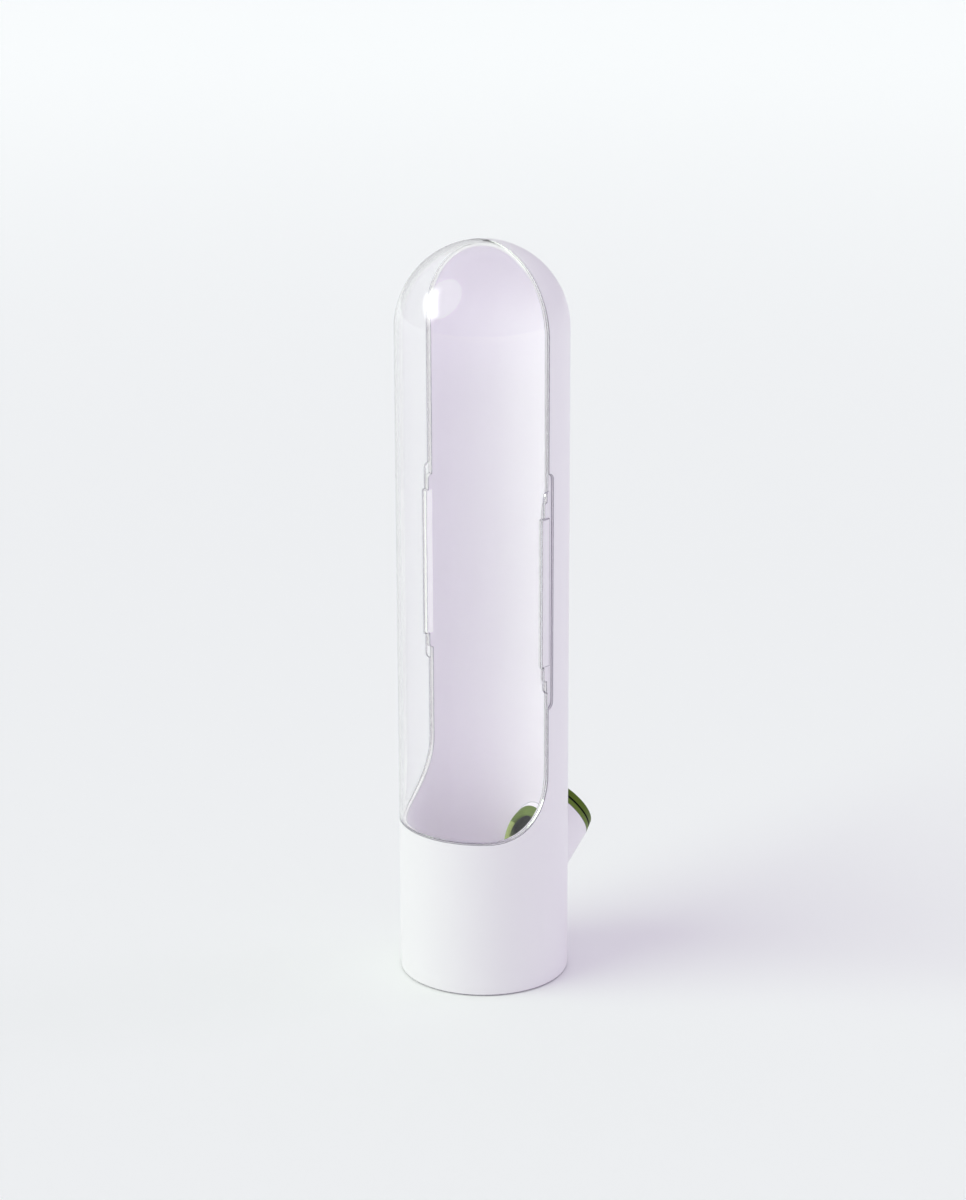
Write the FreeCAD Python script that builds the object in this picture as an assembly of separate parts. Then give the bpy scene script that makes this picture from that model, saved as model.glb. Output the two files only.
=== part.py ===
import FreeCAD, Part
import math
import os

# Herb keeper: a tall capsule on a water reservoir, with a clear front that pulls off
# and a slanted filling spout closed by a green plug.
# Millimetres, +Z up, origin at the centre of the base on the floor.
# The clear front faces -Y and the spout points to +Y.

# Driving dimensions of the capsule
OUTER_RADIUS = 32.0
OVERALL_HEIGHT = 281.0
SHELL_WALL = 2.7
FRONT_WALL = 1.5
FOOT_ROUNDING = 0.9

# Driving dimensions of the front opening
RIM_HEIGHT = 60.8
OPENING_PLANE = 1.85
CORNER_RADIUS = 23.7
SEAM_GAP = 0.3

# Driving dimensions of the side grips
GRIP_CENTRE_HEIGHT = 154.8
GRIP_RECESS_LENGTH = 89.3
GRIP_RECESS_WIDTH = 2.6
GRIP_RECESS_DEPTH = 0.9
NOTCH_LENGTH = 76.5
NOTCH_WIDTH = 2.1
FILLER_LENGTH = 68.1
TAB_LENGTH = 56.0
TAB_REACH = 2.9
TAB_ROOT = 1.0
TAB_DEPTH = 0.4

# Driving dimensions of the base plate
PLATE_THICKNESS = 3.0
PLATE_LEDGE = 1.2
PLATE_CLEARANCE = 0.05

# Driving dimensions of the spout, its sleeve and its plug
SPOUT_ANGLE = 33.0
CAP_STANDOFF = 12.8
CAP_CENTRE_HEIGHT = 54.1
CAP_TOP_RADIUS = 12.85
CAP_FLARE = 15.0
HEAD_THICKNESS = 3.0
HEAD_ROUNDING = 0.9
HEAD_DISH_RADIUS = 8.6
HEAD_DISH_DEPTH = 0.7
FLANGE_THICKNESS = 2.2
GROOVE_ROUNDING = 0.4
SPOUT_FLARE = 7.0
SPOUT_FILLET = 3.0
SLEEVE_BORE_RADIUS = 9.3
SLEEVE_WALL = 1.3
SLEEVE_LENGTH = 26.8
SLEEVE_END_LEAN = 10.7
SLEEVE_CLEARANCE = 0.1
LIP_RADIUS = 11.7
LIP_THICKNESS = 1.8
LIP_ROUNDING = 0.8
BOSS_WALL = 0.8
STEM_LENGTH = 9.0
STEM_CLEARANCE = 0.3
STEM_ROUNDING = 1.0

# Sizes that follow from the driving dimensions
DOME_CENTRE = OVERALL_HEIGHT - OUTER_RADIUS
SHELL_INNER_RADIUS = OUTER_RADIUS - SHELL_WALL
FRONT_INNER_RADIUS = OUTER_RADIUS - FRONT_WALL
TAB_RADIUS = OUTER_RADIUS - TAB_DEPTH
GRIP_RADIUS = OUTER_RADIUS - GRIP_RECESS_DEPTH
PLATE_SEAT_RADIUS = SHELL_INNER_RADIUS + PLATE_LEDGE
REACH = 2 * OUTER_RADIUS
TOLERANCE = 0.01

X_AXIS = FreeCAD.Vector(1, 0, 0)
Z_AXIS = FreeCAD.Vector(0, 0, 1)
SPOUT_COS = math.cos(math.radians(SPOUT_ANGLE))
SPOUT_SIN = math.sin(math.radians(SPOUT_ANGLE))
SPOUT_OUT = FreeCAD.Vector(0, SPOUT_COS, SPOUT_SIN)
CAP_CENTRE = FreeCAD.Vector(0, OUTER_RADIUS + CAP_STANDOFF, CAP_CENTRE_HEIGHT)


def capsule(radius, bottom):
    """A round column from the given height up, closed by a dome."""
    low_centre = FreeCAD.Vector(0, 0, bottom)
    low_edge = FreeCAD.Vector(radius, 0, bottom)
    dome_edge = FreeCAD.Vector(radius, 0, DOME_CENTRE)
    diagonal = radius / math.sqrt(2)
    dome_middle = FreeCAD.Vector(diagonal, 0, DOME_CENTRE + diagonal)
    dome_top = FreeCAD.Vector(0, 0, DOME_CENTRE + radius)
    edges = [
        Part.LineSegment(low_centre, low_edge).toShape(),
        Part.LineSegment(low_edge, dome_edge).toShape(),
        Part.Arc(dome_edge, dome_middle, dome_top).toShape(),
        Part.LineSegment(dome_top, low_centre).toShape(),
    ]
    return Part.Face(Part.Wire(edges)).revolve(FreeCAD.Vector(0, 0, 0), Z_AXIS, 360)


def front_region(inset):
    """Everything in front of the opening's edge, drawn in by the inset on all sides."""
    plane = OPENING_PLANE - inset
    rim = RIM_HEIGHT + inset
    radius = CORNER_RADIUS - inset
    side = -REACH
    centre_y = OPENING_PLANE - CORNER_RADIUS
    centre_z = RIM_HEIGHT + CORNER_RADIUS
    top = OVERALL_HEIGHT + OUTER_RADIUS
    diagonal = radius / math.sqrt(2)
    corner_top = FreeCAD.Vector(side, plane, centre_z)
    corner_middle = FreeCAD.Vector(side, centre_y + diagonal, centre_z - diagonal)
    corner_end = FreeCAD.Vector(side, centre_y, rim)
    front_bottom = FreeCAD.Vector(side, -REACH, rim)
    front_top = FreeCAD.Vector(side, -REACH, top)
    back_top = FreeCAD.Vector(side, plane, top)
    edges = [
        Part.LineSegment(back_top, corner_top).toShape(),
        Part.Arc(corner_top, corner_middle, corner_end).toShape(),
        Part.LineSegment(corner_end, front_bottom).toShape(),
        Part.LineSegment(front_bottom, front_top).toShape(),
        Part.LineSegment(front_top, back_top).toShape(),
    ]
    return Part.Face(Part.Wire(edges)).extrude(X_AXIS * (2 * REACH))


def side_slot(length, width, plane):
    """A round-ended slot through both sides, reaching the width to each side of the plane."""
    straight = length / 2 - width
    low = FreeCAD.Vector(-REACH, plane, GRIP_CENTRE_HEIGHT - straight)
    high = FreeCAD.Vector(-REACH, plane, GRIP_CENTRE_HEIGHT + straight)
    slot = Part.makeBox(2 * REACH, 2 * width, 2 * straight, low - FreeCAD.Vector(0, width, 0))
    for end in (low, high):
        slot = slot.fuse(Part.makeCylinder(width, 2 * REACH, end, X_AXIS))
    return slot.removeSplitter()


def tube_between(inner_radius, outer_radius, bottom, top):
    """A plain upright ring."""
    base = FreeCAD.Vector(0, 0, bottom)
    outer = Part.makeCylinder(outer_radius, top - bottom, base)
    inner = Part.makeCylinder(inner_radius, top - bottom, base)
    return outer.cut(inner)


def along_spout(depth):
    """A point on the spout's axis, the given depth below the plug's top."""
    return CAP_CENTRE - SPOUT_OUT * depth


def spout_cone(radius, flare, start, end):
    """A cone round the spout's axis that widens inwards by the flare angle."""
    length = end - start
    inner = radius + length * math.tan(math.radians(flare))
    return Part.makeCone(radius, inner, length, along_spout(start), SPOUT_OUT * -1)


def cap_radius(depth):
    """The radius of the green cap's tapered side at a depth below its top."""
    return CAP_TOP_RADIUS + depth * math.tan(math.radians(CAP_FLARE))


FLANGE_TOP = HEAD_THICKNESS + SEAM_GAP
SPOUT_MOUTH = FLANGE_TOP + FLANGE_THICKNESS
SPOUT_MOUTH_RADIUS = cap_radius(SPOUT_MOUTH)
SLEEVE_RADIUS = SLEEVE_BORE_RADIUS + SLEEVE_WALL
SLEEVE_PATH_RADIUS = SLEEVE_RADIUS + SLEEVE_CLEARANCE
SLEEVE_REACH = SLEEVE_LENGTH + 2 * LIP_RADIUS
LEAN_COS = math.cos(math.radians(SLEEVE_END_LEAN))
LEAN_SIN = math.sin(math.radians(SLEEVE_END_LEAN))
LIP_FACING = FreeCAD.Vector(0, -LEAN_COS, LEAN_SIN)
STEM_RADIUS = SLEEVE_BORE_RADIUS - STEM_CLEARANCE


def round_edges(solid, radius, wanted):
    """Round the edges on which every point passes the wanted test."""
    samples = 8
    edges = [edge for edge in solid.Edges
             if not edge.Degenerated and all(wanted(point) for point in edge.discretize(samples))]
    return solid.makeFillet(radius, edges)


def on_outer_wall(point):
    """Whether a point lies on the capsule's outer wall."""
    return abs(math.hypot(point.x, point.y) - OUTER_RADIUS) < TOLERANCE


def in_cap_plane(point, depth):
    """Whether a point lies in the plane across the spout at a depth below the plug's top."""
    return abs((point - along_spout(depth)).dot(SPOUT_OUT)) < TOLERANCE


def spout_rod(radius, start, end):
    """A round rod on the spout's axis between two depths below the plug's top."""
    return Part.makeCylinder(radius, end - start, along_spout(start), SPOUT_OUT * -1)


def beyond_lip(setback):
    """All space in front of the sleeve's slanted inner end, moved back by the setback."""
    start = along_spout(SLEEVE_LENGTH) - LIP_FACING * setback
    return Part.makeCylinder(REACH, 2 * REACH, start, LIP_FACING)


def side_band(length, reach):
    """A block through both sides, reaching forward of the opening's plane by the given amount."""
    corner = FreeCAD.Vector(-REACH, OPENING_PLANE - reach, GRIP_CENTRE_HEIGHT - length / 2)
    return Part.makeBox(2 * REACH, reach + TAB_ROOT, length, corner)


def make_side_tabs():
    """Fillers that close the front's notches, and the tabs for the fingers, both in the full wall."""
    wall = tube_between(SHELL_INNER_RADIUS, OUTER_RADIUS, 0, OVERALL_HEIGHT)
    filler = side_slot(FILLER_LENGTH, NOTCH_WIDTH - SEAM_GAP, OPENING_PLANE)
    filler = filler.common(side_band(FILLER_LENGTH, NOTCH_WIDTH))
    return [filler.common(wall), side_band(TAB_LENGTH, TAB_REACH).common(wall)]


def cut_grip_recesses(shell):
    """The shell with a round-ended recess at each side, shallower over the tabs."""
    tabs = side_band(TAB_LENGTH, TAB_REACH)
    recess = side_slot(GRIP_RECESS_LENGTH, GRIP_RECESS_WIDTH, OPENING_PLANE)
    shell = shell.cut(recess.cut(Part.makeCylinder(GRIP_RADIUS, OVERALL_HEIGHT)).cut(tabs))
    over_tabs = side_band(TAB_LENGTH, TAB_REACH + SEAM_GAP)
    return shell.cut(over_tabs.cut(Part.makeCylinder(TAB_RADIUS, OVERALL_HEIGHT)))


def make_inner_boss():
    """The spout's tube where it stands into the shell, up to the sleeve's lip."""
    boss = spout_rod(SLEEVE_PATH_RADIUS + BOSS_WALL, SPOUT_MOUTH, SLEEVE_REACH)
    return boss.common(capsule(OUTER_RADIUS - SHELL_WALL / 2, 0)).cut(beyond_lip(LIP_THICKNESS))


def make_body_shell():
    """White shell: reservoir, back half, half dome, spout and side grips in one moulding."""
    outside = capsule(OUTER_RADIUS, 0)
    spout = spout_cone(SPOUT_MOUTH_RADIUS, SPOUT_FLARE, SPOUT_MOUTH, SPOUT_MOUTH + OUTER_RADIUS)
    outside = outside.fuse(spout).removeSplitter()

    def meets_spout(point):
        return on_outer_wall(point) and point.y > OUTER_RADIUS / 2

    outside = round_edges(outside, SPOUT_FILLET, meets_spout)
    shell = outside.cut(capsule(SHELL_INNER_RADIUS, 0)).fuse(make_inner_boss())
    shell = shell.cut(Part.makeCylinder(PLATE_SEAT_RADIUS, PLATE_THICKNESS))
    shell = shell.cut(spout_rod(SLEEVE_PATH_RADIUS, 0, SLEEVE_REACH))
    shell = shell.cut(front_region(0))
    shell = cut_grip_recesses(shell.fuse(make_side_tabs()).removeSplitter())

    def is_foot(point):
        return on_outer_wall(point) and abs(point.z) < TOLERANCE

    return round_edges(shell, FOOT_ROUNDING, is_foot)


def make_base_plate():
    """Round plate that closes the reservoir from below, flush with the shell's foot."""
    return Part.makeCylinder(PLATE_SEAT_RADIUS - PLATE_CLEARANCE, PLATE_THICKNESS)


def make_clear_front():
    """Clear front half of the capsule, notched at both sides for the fingers."""
    front = capsule(OUTER_RADIUS, 0).cut(capsule(FRONT_INNER_RADIUS, 0))
    front = front.common(front_region(SEAM_GAP))
    front = front.cut(side_slot(NOTCH_LENGTH, NOTCH_WIDTH, OPENING_PLANE))
    return front.cut(side_band(TAB_LENGTH + 2 * SEAM_GAP, TAB_REACH + SEAM_GAP))


def make_spout_sleeve():
    """Hollow green sleeve: a flange on the spout, a liner, and a lip on the inner boss."""
    flange = spout_cone(cap_radius(FLANGE_TOP), CAP_FLARE, FLANGE_TOP, SPOUT_MOUTH)
    flange = round_edges(flange, GROOVE_ROUNDING, lambda point: in_cap_plane(point, FLANGE_TOP))
    liner = spout_rod(SLEEVE_RADIUS, FLANGE_TOP + GROOVE_ROUNDING, SLEEVE_REACH)
    lip = spout_rod(LIP_RADIUS, SPOUT_MOUTH, SLEEVE_REACH).common(beyond_lip(LIP_THICKNESS))
    bore = spout_rod(SLEEVE_BORE_RADIUS, 0, SLEEVE_REACH)
    sleeve = flange.fuse([liner, lip]).cut(beyond_lip(0)).cut(bore).removeSplitter()

    def is_lip_edge(point):
        return abs((point - along_spout(SLEEVE_LENGTH)).dot(LIP_FACING)) < TOLERANCE

    return round_edges(sleeve, LIP_ROUNDING, is_lip_edge)


def make_spout_plug():
    """Green plug: a dished head over the flange and a stem that fills the sleeve."""
    head = spout_cone(CAP_TOP_RADIUS, CAP_FLARE, 0, HEAD_THICKNESS)
    head = round_edges(head, HEAD_ROUNDING, lambda point: in_cap_plane(point, 0))
    head = round_edges(head, GROOVE_ROUNDING, lambda point: in_cap_plane(point, HEAD_THICKNESS))
    dish = Part.makeCylinder(HEAD_DISH_RADIUS, 2 * HEAD_DISH_DEPTH, along_spout(HEAD_DISH_DEPTH), SPOUT_OUT)
    stem_end = HEAD_THICKNESS + STEM_LENGTH
    stem = spout_rod(STEM_RADIUS, HEAD_THICKNESS / 2, stem_end)
    stem = round_edges(stem, STEM_ROUNDING, lambda point: in_cap_plane(point, stem_end))
    return head.cut(dish).fuse(stem).removeSplitter()


def save(node, shape):
    """Write one sub-part as its own file and print what it holds."""
    if len(shape.Solids) == 1:
        shape = shape.Solids[0]
    shape.exportStep(os.path.join("parts", node + ".step"))
    box = shape.BoundBox
    print("%-13s solids %d volume %.1f valid %s box %.2f %.2f %.2f to %.2f %.2f %.2f" % (
        node, len(shape.Solids), shape.Volume, shape.isValid(),
        box.XMin, box.YMin, box.ZMin, box.XMax, box.YMax, box.ZMax))


def main():
    os.makedirs("parts", exist_ok=True)
    save("body_shell", make_body_shell())
    save("base_plate", make_base_plate())
    save("clear_front", make_clear_front())
    save("spout_sleeve", make_spout_sleeve())
    save("spout_plug", make_spout_plug())


main()
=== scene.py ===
import math

import bpy
from mathutils import Matrix, Vector

# Herb keeper: looks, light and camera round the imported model. Metres, +Z up.

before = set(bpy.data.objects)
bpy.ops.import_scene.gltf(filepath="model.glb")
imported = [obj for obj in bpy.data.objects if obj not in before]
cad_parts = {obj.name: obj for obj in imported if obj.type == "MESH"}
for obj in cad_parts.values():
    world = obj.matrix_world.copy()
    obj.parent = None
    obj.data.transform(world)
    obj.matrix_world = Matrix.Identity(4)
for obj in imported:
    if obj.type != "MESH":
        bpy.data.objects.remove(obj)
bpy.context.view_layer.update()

# Photograph's frame and camera: pixels of the 966 by 1200 image, millimetres of sensor, degrees, metres
IMAGE_HEIGHT = 1200
SENSOR_LONG_SIDE = 36.0
FOCAL_LENGTH_PX = 2965.2
CAMERA_AZIMUTH = 45.0
CAMERA_PITCH = 16.94
CAMERA_DISTANCE = 1.102
CAMERA_TARGET_HEIGHT = 0.1459
CAMERA_ROLL = 0.19

# Places in the model that the finishes follow, in metres and degrees
DOME_CENTRE = 0.249
INSIDE_RADIUS = 0.0303
OPENING_PLANE = 0.00185
OPENING_CORNER = 0.0237
RIM_HEIGHT = 0.0608
RIM_REACH = 0.0001
TAB_CENTRE = 0.1548
TAB_HALF_LENGTH = 0.028
TAB_FROM_AXIS = 0.0292
TAB_SKIN_RADIUS = 0.0314
SPOUT_ANGLE = 33.0
SPOUT_OFF_ORIGIN = 0.02097
GROOVE_ALONG_SPOUT = 0.06389
GROOVE_HALF_WIDTH = 0.00045
GROOVE_FROM_AXIS = 0.0116
BORE_RADIUS = 0.0095
BORE_MOUTH = 0.0405
BORE_DARK = 0.047
FOOT_SHADE_HEIGHT = 0.0006

# Painted shade at edges: how alike the faces are where it begins and where it is full, and its fade at the
# dome's top
EDGE_SAMPLES = 8
EDGE_LIKENESS_START = 0.995
EDGE_LIKENESS_FULL = 0.93
EDGE_FADE_START = 0.250
EDGE_FADE_END = 0.276
EDGE_AT_TOP = 0.2

# White plastic
WHITE_DEEP = (0.875, 0.85, 0.89)
WHITE_LIGHT = (0.865, 0.84, 0.88)
# Painted shade colour: a lilac cast on the capsule's inner wall and dome
INSIDE_PAINTED_SHADE = (0.895, 0.842, 0.935)
# Painted shade colour: a lilac tone on the narrow face along the front opening
RIM_PAINTED_SHADE = (0.87, 0.815, 0.90)
# Painted light: the thin side tabs are made lighter
TAB_PAINTED_LIGHT = (0.95, 0.94, 0.955)
# Painted shade: a dark contact band at the very foot
FOOT_PAINTED_SHADE = (0.45, 0.42, 0.48)
# Painted shade: dark lines along the white plastic's sharp edges
WHITE_EDGE_PAINTED_SHADE = (0.27, 0.25, 0.31)
WHITE_EDGE_WIDTH = 0.0006
WHITE_CLOUD_SCALE = 22
WHITE_ROUGHNESS = (0.30, 0.38)
WHITE_GRAIN_SCALE = 2600
WHITE_GRAIN_DEPTH = 0.000012
PLASTIC_IOR = 1.49

# Painted glow standing in for daylight through the white walls: its colour, its strength, and the heights
# between which it grows
GLOW_COLOUR = (0.95, 0.88, 1.0)
WALL_GLOW = 0.03
DOME_GLOW = 0.15
DOME_GLOW_START = 0.215
DOME_GLOW_FULL = 0.268
LOW_GLOW = 0.03
LOW_GLOW_START = 0.13
LOW_GLOW_FULL = 0.07
TAB_GLOW = 0.18

# Clear plastic
CLEAR_TINT = (0.995, 0.993, 0.997)
# Painted shade: dark lines on the clear front's cut edges
CLEAR_EDGE_PAINTED_SHADE = (0.17, 0.155, 0.20)
CLEAR_EDGE_WIDTH = 0.0008
CLEAR_SPECULAR = 0.16
CLEAR_ROUGHNESS = (0.0, 0.03)
WINDOW_COLOUR = (1.0, 0.96, 1.0)

# Green silicone
SLEEVE_DEEP = (0.11, 0.17, 0.02)
SLEEVE_LIGHT = (0.14, 0.21, 0.03)
PLUG_DEEP = (0.075, 0.12, 0.006)
PLUG_LIGHT = (0.10, 0.155, 0.012)
# Painted light: the sleeve's inner lip is a lighter, lit-looking green
LIP_PAINTED_LIGHT = (0.42, 0.53, 0.17)
# Painted shade: a near-black line in the groove between sleeve and plug
GROOVE_PAINTED_SHADE = (0.008, 0.012, 0.002)
# Painted shade: near black deep in the sleeve's bore
BORE_PAINTED_SHADE = (0.003, 0.005, 0.001)
SILICONE_IOR = 1.42
SILICONE_SPECULAR = 0.3
SILICONE_ROUGHNESS = (0.38, 0.52)
SILICONE_GRAIN_SCALE = 3200
SILICONE_GRAIN_DEPTH = 0.00002

# Lamps: where they stand, in degrees, how wide they look, their strength and colour
KEY_AZIMUTH = -26.0
KEY_ELEVATION = 38.0
KEY_SPREAD = 48.0
KEY_STRENGTH = 1.3
KEY_COLOUR = (0.80, 1.0, 0.70)
FILL_AZIMUTH = 150.0
FILL_ELEVATION = 10.0
FILL_SPREAD = 20.0
FILL_STRENGTH = 0.28
FILL_COLOUR = (0.95, 0.88, 1.0)

# Surroundings: the light on faces, the light that enters the chamber, the backdrop, and what reflections see
AMBIENT_COLOUR = (0.695, 0.655, 0.745)
CHAMBER_COLOUR = (0.90, 0.865, 0.975)
BACKGROUND_COLOUR = (0.85, 0.865, 0.88)
REFLECTED_COLOUR = (0.48, 0.48, 0.50)

# Softbox that reflections see: degrees, then parts of the unit sphere
HIGHLIGHT_AZIMUTH = -36.0
HIGHLIGHT_ELEVATION = 25.0
HIGHLIGHT_TILT = 45.0
HIGHLIGHT_HALF_WIDTH = 0.13
HIGHLIGHT_HALF_HEIGHT = 0.24
HIGHLIGHT_BLUR = 0.12
HIGHLIGHT_STRENGTH = 19.0

# Floor, with a painted glow and the distances between which it makes the floor lighter
FLOOR_COLOUR = (0.93, 0.935, 0.94)
FLOOR_ROUGHNESS = 0.9
FLOOR_HALF_SIZE = 14.0
# Painted light: the colour and strength of the floor's glow far behind
FAR_FLOOR_GLOW_COLOUR = (0.9, 1.0, 0.93)
FAR_FLOOR_GLOW = 0.11
FAR_FLOOR_START = 0.4
FAR_FLOOR_FULL = 3.2


def new_material(name):
    """A material with its node tree and its own shader."""
    material = bpy.data.materials.new(name)
    material.use_nodes = True
    tree = material.node_tree
    return material, tree, tree.nodes["Principled BSDF"]


def calc(tree, operation, *values):
    """One number worked out from others, which are sockets or plain values."""
    node = tree.nodes.new("ShaderNodeMath")
    node.operation = operation
    for socket, value in zip(node.inputs, values):
        if isinstance(value, float):
            socket.default_value = value
        else:
            tree.links.new(value, socket)
    return node.outputs["Value"]


def dot(tree, first, second):
    """How far one direction goes along another, each a socket or a vector."""
    node = tree.nodes.new("ShaderNodeVectorMath")
    node.operation = "DOT_PRODUCT"
    for socket, value in zip(node.inputs, (first, second)):
        if isinstance(value, Vector):
            socket.default_value = value
        else:
            tree.links.new(value, socket)
    return node.outputs["Value"]


def both(tree, *masks):
    """1 where all the masks are 1."""
    product = masks[0]
    for mask in masks[1:]:
        product = calc(tree, "MULTIPLY", product, mask)
    return product


def length_of(tree, *values):
    """The length of the vector that has these parts."""
    total = calc(tree, "MULTIPLY", values[0], values[0])
    for value in values[1:]:
        total = calc(tree, "MULTIPLY_ADD", value, value, total)
    return calc(tree, "SQRT", total)


def map_range(tree, value, start, end, low, high, shape="LINEAR"):
    """A value from low to high as another one goes from the start to the end."""
    node = tree.nodes.new("ShaderNodeMapRange")
    node.interpolation_type = shape
    node.inputs["From Min"].default_value = start
    node.inputs["From Max"].default_value = end
    node.inputs["To Min"].default_value = low
    node.inputs["To Max"].default_value = high
    tree.links.new(value, node.inputs["Value"])
    return node.outputs["Result"]


def ramp(tree, value, start, end, low, high):
    """The same with a soft start and a soft end."""
    return map_range(tree, value, start, end, low, high, "SMOOTHSTEP")


def noise(tree, scale, detail, low, high):
    """Noise from low to high in the object's own space, with the scale in cycles per metre."""
    coordinates = tree.nodes.new("ShaderNodeTexCoord")
    texture = tree.nodes.new("ShaderNodeTexNoise")
    texture.inputs["Scale"].default_value = scale
    texture.inputs["Detail"].default_value = detail
    tree.links.new(coordinates.outputs["Object"], texture.inputs["Vector"])
    return map_range(tree, texture.outputs["Fac"], 0.3, 0.7, low, high)


def blend_colours(tree, value, first, second):
    """A colour that goes from the first to the second as the value goes from 0 to 1."""
    node = tree.nodes.new("ShaderNodeMix")
    node.data_type = "RGBA"
    for name, colour in (("A", first), ("B", second)):
        if isinstance(colour, tuple):
            node.inputs[name].default_value = (*colour, 1.0)
        else:
            tree.links.new(colour, node.inputs[name])
    tree.links.new(value, node.inputs["Factor"])
    return node.outputs["Result"]


def mix_shaders(tree, factor, first, second):
    """The first shader where the factor is 0 and the second where it is 1."""
    node = tree.nodes.new("ShaderNodeMixShader")
    tree.links.new(factor, node.inputs["Fac"])
    tree.links.new(first, node.inputs[1])
    tree.links.new(second, node.inputs[2])
    return node.outputs["Shader"]


def add_grain(tree, shader, scale, depth):
    """Fine surface relief of the given depth in metres."""
    coordinates = tree.nodes.new("ShaderNodeTexCoord")
    texture = tree.nodes.new("ShaderNodeTexNoise")
    texture.inputs["Scale"].default_value = scale
    tree.links.new(coordinates.outputs["Object"], texture.inputs["Vector"])
    bump = tree.nodes.new("ShaderNodeBump")
    bump.inputs["Strength"].default_value = 1.0
    bump.inputs["Distance"].default_value = depth
    tree.links.new(texture.outputs["Fac"], bump.inputs["Height"])
    tree.links.new(bump.outputs["Normal"], shader.inputs["Normal"])


def place(tree):
    """The three coordinates of a point in the object's own space."""
    coordinates = tree.nodes.new("ShaderNodeTexCoord")
    split = tree.nodes.new("ShaderNodeSeparateXYZ")
    tree.links.new(coordinates.outputs["Object"], split.inputs["Vector"])
    return split.outputs["X"], split.outputs["Y"], split.outputs["Z"]


def edge_mask(tree, width):
    """Where painted shade goes: a value that rises to 1 within the width of sharp edges, and less at the
    dome's top.
    """
    bevel = tree.nodes.new("ShaderNodeBevel")
    bevel.samples = EDGE_SAMPLES
    bevel.inputs["Radius"].default_value = width
    surface = tree.nodes.new("ShaderNodeNewGeometry")
    likeness = calc(tree, "ABSOLUTE", dot(tree, bevel.outputs["Normal"], surface.outputs["Normal"]))
    mask = map_range(tree, likeness, EDGE_LIKENESS_START, EDGE_LIKENESS_FULL, 0.0, 1.0)
    height = place(tree)[2]
    return both(tree, mask, ramp(tree, height, EDGE_FADE_START, EDGE_FADE_END, 1.0, EDGE_AT_TOP))


def inside_mask(tree):
    """1 on the capsule's inner wall and dome, 0 outside."""
    x, y, z = place(tree)
    above = calc(tree, "MAXIMUM", calc(tree, "SUBTRACT", z, DOME_CENTRE), 0.0)
    return calc(tree, "LESS_THAN", length_of(tree, x, y, above), INSIDE_RADIUS)


def tab_mask(tree):
    """1 on the inner faces of the thin tabs at the sides, which get painted light for the light that comes
    through them.
    """
    x, y, z = place(tree)
    high = calc(tree, "COMPARE", z, TAB_CENTRE, TAB_HALF_LENGTH)
    forward = calc(tree, "LESS_THAN", y, OPENING_PLANE)
    outward = calc(tree, "GREATER_THAN", calc(tree, "ABSOLUTE", x), TAB_FROM_AXIS)
    under_skin = calc(tree, "LESS_THAN", length_of(tree, x, y), TAB_SKIN_RADIUS)
    return both(tree, high, forward, outward, under_skin)


def rim_mask(tree):
    """1 on the narrow face of the wall all along the front opening."""
    x, y, z = place(tree)
    back = calc(tree, "SUBTRACT", y, OPENING_PLANE - OPENING_CORNER)
    down = calc(tree, "SUBTRACT", RIM_HEIGHT + OPENING_CORNER, z)
    round_part = length_of(tree, calc(tree, "MAXIMUM", back, 0.0), calc(tree, "MAXIMUM", down, 0.0))
    straight_part = calc(tree, "MINIMUM", calc(tree, "MAXIMUM", back, down), 0.0)
    reach = calc(tree, "ADD", round_part, straight_part)
    return calc(tree, "COMPARE", reach, OPENING_CORNER, RIM_REACH)


def glow(tree):
    """Painted glow standing in for daylight through the thin white wall, most of all in the dome and the
    tabs.
    """
    height = place(tree)[2]
    dome = ramp(tree, height, DOME_GLOW_START, DOME_GLOW_FULL, WALL_GLOW, DOME_GLOW)
    low = ramp(tree, height, LOW_GLOW_START, LOW_GLOW_FULL, 0.0, LOW_GLOW)
    wall = both(tree, calc(tree, "ADD", dome, low), inside_mask(tree))
    return calc(tree, "MAXIMUM", wall, calc(tree, "MULTIPLY", tab_mask(tree), TAB_GLOW))


def make_white_plastic(name):
    """Satin white moulded plastic, faint mould texture; painted shade on edges, foot, rim and inside; painted
    light and glow.
    """
    material, tree, shader = new_material(name)
    tint = blend_colours(tree, noise(tree, WHITE_CLOUD_SCALE, 3, 0, 1), WHITE_DEEP, WHITE_LIGHT)
    # Painted shade colour: the inner wall and dome get a lilac cast
    tint = blend_colours(tree, inside_mask(tree), tint, INSIDE_PAINTED_SHADE)
    # Painted shade colour: the narrow face along the front opening is toned lilac
    tint = blend_colours(tree, rim_mask(tree), tint, RIM_PAINTED_SHADE)
    # Painted light: the tabs' inner faces are made lighter
    tint = blend_colours(tree, tab_mask(tree), tint, TAB_PAINTED_LIGHT)
    # Painted shade: sharp edges are darkened
    tint = blend_colours(tree, edge_mask(tree, WHITE_EDGE_WIDTH), tint, WHITE_EDGE_PAINTED_SHADE)
    # Painted shade: the lowest 0.6 mm of the foot is darkened as contact shade
    foot_shade_mask = calc(tree, "LESS_THAN", place(tree)[2], FOOT_SHADE_HEIGHT)
    tint = blend_colours(tree, foot_shade_mask, tint, FOOT_PAINTED_SHADE)
    tree.links.new(tint, shader.inputs["Base Color"])
    # Painted light: an emission glow on the inner wall, dome and tabs
    shader.inputs["Emission Color"].default_value = (*GLOW_COLOUR, 1.0)
    tree.links.new(glow(tree), shader.inputs["Emission Strength"])
    tree.links.new(noise(tree, 140, 4, *WHITE_ROUGHNESS), shader.inputs["Roughness"])
    shader.inputs["IOR"].default_value = PLASTIC_IOR
    add_grain(tree, shader, WHITE_GRAIN_SCALE, WHITE_GRAIN_DEPTH)
    return material


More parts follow.
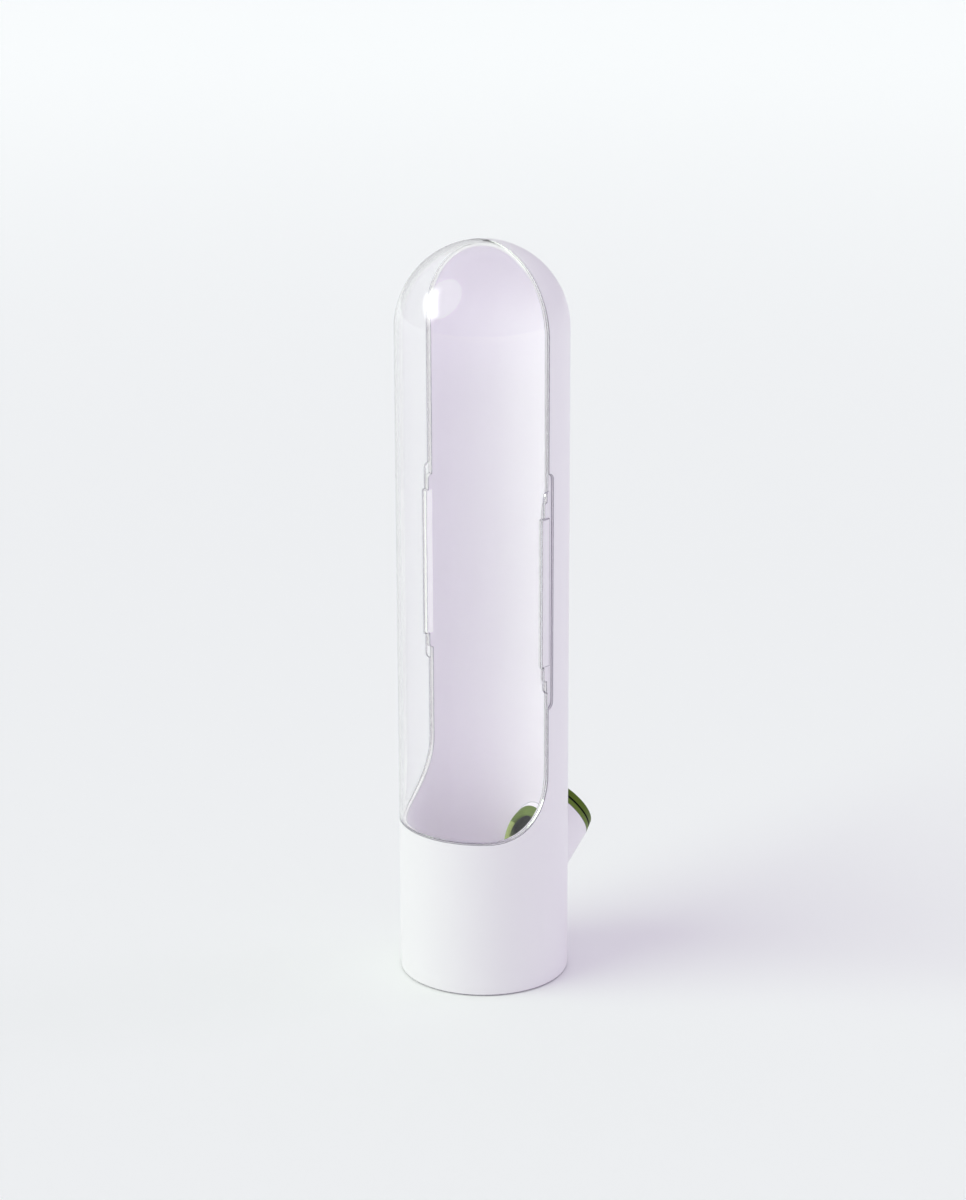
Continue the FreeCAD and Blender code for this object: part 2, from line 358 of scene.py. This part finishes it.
def make_clear_plastic(name):
    """Clear polished plastic with painted shade on its cut edges, which lets the lamps' light through."""
    material, tree, shader = new_material(name)
    # Painted shade: the clear front's cut edges are darkened
    tint = blend_colours(tree, edge_mask(tree, CLEAR_EDGE_WIDTH), CLEAR_TINT, CLEAR_EDGE_PAINTED_SHADE)
    tree.links.new(tint, shader.inputs["Base Color"])
    shader.inputs["Transmission Weight"].default_value = 1.0
    shader.inputs["Specular IOR Level"].default_value = CLEAR_SPECULAR
    shader.inputs["IOR"].default_value = PLASTIC_IOR
    tree.links.new(noise(tree, 90, 4, *CLEAR_ROUGHNESS), shader.inputs["Roughness"])
    path = tree.nodes.new("ShaderNodeLightPath")
    window = tree.nodes.new("ShaderNodeBsdfTransparent")
    window.inputs["Color"].default_value = (*WINDOW_COLOUR, 1.0)
    surface = mix_shaders(tree, path.outputs["Is Shadow Ray"], shader.outputs["BSDF"], window.outputs["BSDF"])
    tree.links.new(surface, tree.nodes["Material Output"].inputs["Surface"])
    return material


def place_on_spout(tree):
    """A point's place along the spout's axis and its distance from that axis."""
    x, y, z = place(tree)
    turn = math.radians(SPOUT_ANGLE)
    along = calc(tree, "MULTIPLY_ADD", z, math.sin(turn), calc(tree, "MULTIPLY", y, math.cos(turn)))
    across = calc(tree, "MULTIPLY_ADD", z, math.cos(turn), calc(tree, "MULTIPLY", y, -math.sin(turn)))
    across = calc(tree, "SUBTRACT", across, SPOUT_OFF_ORIGIN)
    return along, length_of(tree, x, across)


def groove_mask(tree, along, off_axis):
    """1 in the groove between the sleeve and the plug's head, where painted shade goes."""
    level = calc(tree, "COMPARE", along, GROOVE_ALONG_SPOUT, GROOVE_HALF_WIDTH)
    return both(tree, level, calc(tree, "GREATER_THAN", off_axis, GROOVE_FROM_AXIS))


def bore_mask(tree, along, off_axis):
    """0 at the sleeve's inner mouth, rising to 1 deep in its bore, where painted shade goes."""
    in_bore = calc(tree, "LESS_THAN", off_axis, BORE_RADIUS)
    return both(tree, in_bore, ramp(tree, along, BORE_MOUTH, BORE_DARK, 0.0, 1.0))


def make_silicone(name, deep, light, hollow):
    """Soft green silicone: satin, finely grained, with painted shade in the groove and, where hollow, a lip
    lightened by painted light and painted shade deep in the bore.
    """
    material, tree, shader = new_material(name)
    along, off_axis = place_on_spout(tree)
    tint = blend_colours(tree, noise(tree, 160, 4, 0, 1), deep, light)
    # Painted shade: the groove is darkened
    tint = blend_colours(tree, groove_mask(tree, along, off_axis), tint, GROOVE_PAINTED_SHADE)
    if hollow:
        # Painted light: the inner lip gets a lighter green
        painted_lit_lip = calc(tree, "LESS_THAN", along, BORE_DARK)
        tint = blend_colours(tree, painted_lit_lip, tint, LIP_PAINTED_LIGHT)
        # Painted shade: the bore darkens with depth
        tint = blend_colours(tree, bore_mask(tree, along, off_axis), tint, BORE_PAINTED_SHADE)
    tree.links.new(tint, shader.inputs["Base Color"])
    tree.links.new(noise(tree, 600, 3, *SILICONE_ROUGHNESS), shader.inputs["Roughness"])
    shader.inputs["IOR"].default_value = SILICONE_IOR
    shader.inputs["Specular IOR Level"].default_value = SILICONE_SPECULAR
    add_grain(tree, shader, SILICONE_GRAIN_SCALE, SILICONE_GRAIN_DEPTH)
    return material


def dress(node, material):
    """Give a CAD node its finish."""
    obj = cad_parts[node]
    if not obj.material_slots:
        obj.data.materials.append(material)
    for slot in obj.material_slots:
        slot.material = material


def dress_all():
    """Give every CAD node its finish."""
    dress("body_shell", make_white_plastic("white_shell"))
    dress("base_plate", make_white_plastic("white_plate"))
    dress("clear_front", make_clear_plastic("clear_front"))
    dress("spout_sleeve", make_silicone("green_sleeve", SLEEVE_DEEP, SLEEVE_LIGHT, True))
    dress("spout_plug", make_silicone("green_plug", PLUG_DEEP, PLUG_LIGHT, False))


def make_floor():
    """A wide pale floor that keeps the soft shadow, with a painted glow that makes it lighter far behind."""
    half = FLOOR_HALF_SIZE
    mesh = bpy.data.meshes.new("floor")
    corners = [(-half, -half, 0), (half, -half, 0), (half, half, 0), (-half, half, 0)]
    mesh.from_pydata(corners, [], [(0, 1, 2, 3)])
    floor = bpy.data.objects.new("floor", mesh)
    bpy.context.scene.collection.objects.link(floor)
    material, tree, shader = new_material("floor")
    shader.inputs["Base Color"].default_value = (*FLOOR_COLOUR, 1.0)
    shader.inputs["Roughness"].default_value = FLOOR_ROUGHNESS
    shader.inputs["Specular IOR Level"].default_value = 0.0
    # Painted light: an emission glow that grows with distance
    shader.inputs["Emission Color"].default_value = (*FAR_FLOOR_GLOW_COLOUR, 1.0)
    distance = length_of(tree, *place(tree)[:2])
    far = ramp(tree, distance, FAR_FLOOR_START, FAR_FLOOR_FULL, 0.0, FAR_FLOOR_GLOW)
    tree.links.new(far, shader.inputs["Emission Strength"])
    mesh.materials.append(material)


def direction(azimuth, elevation):
    """The unit vector from the object to a place seen at that azimuth and elevation."""
    turn = math.radians(azimuth)
    rise = math.radians(elevation)
    return Vector((math.sin(turn) * math.cos(rise), -math.cos(turn) * math.cos(rise), math.sin(rise)))


def aim(obj, towards):
    """Turn a lamp or camera so that it looks along the vector."""
    obj.rotation_mode = "QUATERNION"
    obj.rotation_quaternion = towards.to_track_quat("-Z", "Y")


def make_camera():
    """The photograph's camera."""
    data = bpy.data.cameras.new("camera")
    data.lens = FOCAL_LENGTH_PX * SENSOR_LONG_SIDE / IMAGE_HEIGHT
    data.sensor_width = SENSOR_LONG_SIDE
    camera = bpy.data.objects.new("camera", data)
    bpy.context.scene.collection.objects.link(camera)
    back = direction(CAMERA_AZIMUTH, CAMERA_PITCH)
    camera.location = Vector((0, 0, CAMERA_TARGET_HEIGHT)) + back * CAMERA_DISTANCE
    aim(camera, -back)
    roll = Matrix.Rotation(math.radians(-CAMERA_ROLL), 3, "Z").to_quaternion()
    camera.rotation_quaternion = camera.rotation_quaternion @ roll
    bpy.context.scene.camera = camera


def make_sun(name, azimuth, elevation, spread_angle, strength, colour):
    """A distant soft lamp that doesn't show in reflections."""
    data = bpy.data.lights.new(name, "SUN")
    data.energy = strength
    data.color = colour
    data.angle = math.radians(spread_angle)
    lamp = bpy.data.objects.new(name, data)
    bpy.context.scene.collection.objects.link(lamp)
    aim(lamp, -direction(azimuth, elevation))
    lamp.visible_glossy = False
    return lamp


def sky(tree, colour):
    """A plain background light of one colour."""
    node = tree.nodes.new("ShaderNodeBackground")
    node.inputs["Color"].default_value = (*colour, 1.0)
    return node.outputs["Background"]


def soft_limit(tree, value, limit):
    """1 while a value is under the limit, fading to 0 past it."""
    return ramp(tree, value, limit + HIGHLIGHT_BLUR, limit - HIGHLIGHT_BLUR, 0.0, 1.0)


def highlight_mask(tree):
    """1 where a reflection looks at the softbox, with soft edges."""
    look = tree.nodes.new("ShaderNodeTexCoord").outputs["Generated"]
    towards = direction(HIGHLIGHT_AZIMUTH, HIGHLIGHT_ELEVATION)
    tilt = Matrix.Rotation(math.radians(HIGHLIGHT_TILT), 3, towards)
    side = tilt @ direction(HIGHLIGHT_AZIMUTH + 90, 0)
    ahead = calc(tree, "GREATER_THAN", dot(tree, look, towards), 0.0)
    across = calc(tree, "ABSOLUTE", dot(tree, look, side))
    upward = calc(tree, "ABSOLUTE", dot(tree, look, side.cross(towards)))
    across = soft_limit(tree, across, HIGHLIGHT_HALF_WIDTH)
    upward = soft_limit(tree, upward, HIGHLIGHT_HALF_HEIGHT)
    return both(tree, ahead, across, upward)


def make_world():
    """Lilac-tinted ambient light, a pale backdrop, and a dimmer room in reflections."""
    world = bpy.data.worlds.new("world")
    bpy.context.scene.world = world
    world.use_nodes = True
    tree = world.node_tree
    tree.nodes.clear()
    path = tree.nodes.new("ShaderNodeLightPath")
    through = path.outputs["Is Transmission Ray"]
    unscattered = calc(tree, "LESS_THAN", path.outputs["Diffuse Depth"], 0.5)
    seen = both(tree, calc(tree, "MAXIMUM", path.outputs["Is Camera Ray"], through), unscattered)
    mirrored = calc(tree, "MAXIMUM", calc(tree, "SUBTRACT", path.outputs["Is Glossy Ray"], through), 0.0)
    mirrored = both(tree, mirrored, unscattered)
    into_chamber = calc(tree, "SUBTRACT", through, unscattered)
    softbox = sky(tree, (HIGHLIGHT_STRENGTH,) * 3)
    room = mix_shaders(tree, highlight_mask(tree), sky(tree, REFLECTED_COLOUR), softbox)
    light = mix_shaders(tree, seen, sky(tree, AMBIENT_COLOUR), sky(tree, BACKGROUND_COLOUR))
    light = mix_shaders(tree, into_chamber, light, sky(tree, CHAMBER_COLOUR))
    light = mix_shaders(tree, mirrored, light, room)
    output = tree.nodes.new("ShaderNodeOutputWorld")
    tree.links.new(light, output.inputs["Surface"])


dress_all()
make_camera()
make_floor()
make_world()
make_sun("key", KEY_AZIMUTH, KEY_ELEVATION, KEY_SPREAD, KEY_STRENGTH, KEY_COLOUR)
fill = make_sun("fill", FILL_AZIMUTH, FILL_ELEVATION, FILL_SPREAD, FILL_STRENGTH, FILL_COLOUR)
fill.visible_transmission = False
bpy.context.scene.view_settings.view_transform = "Standard"
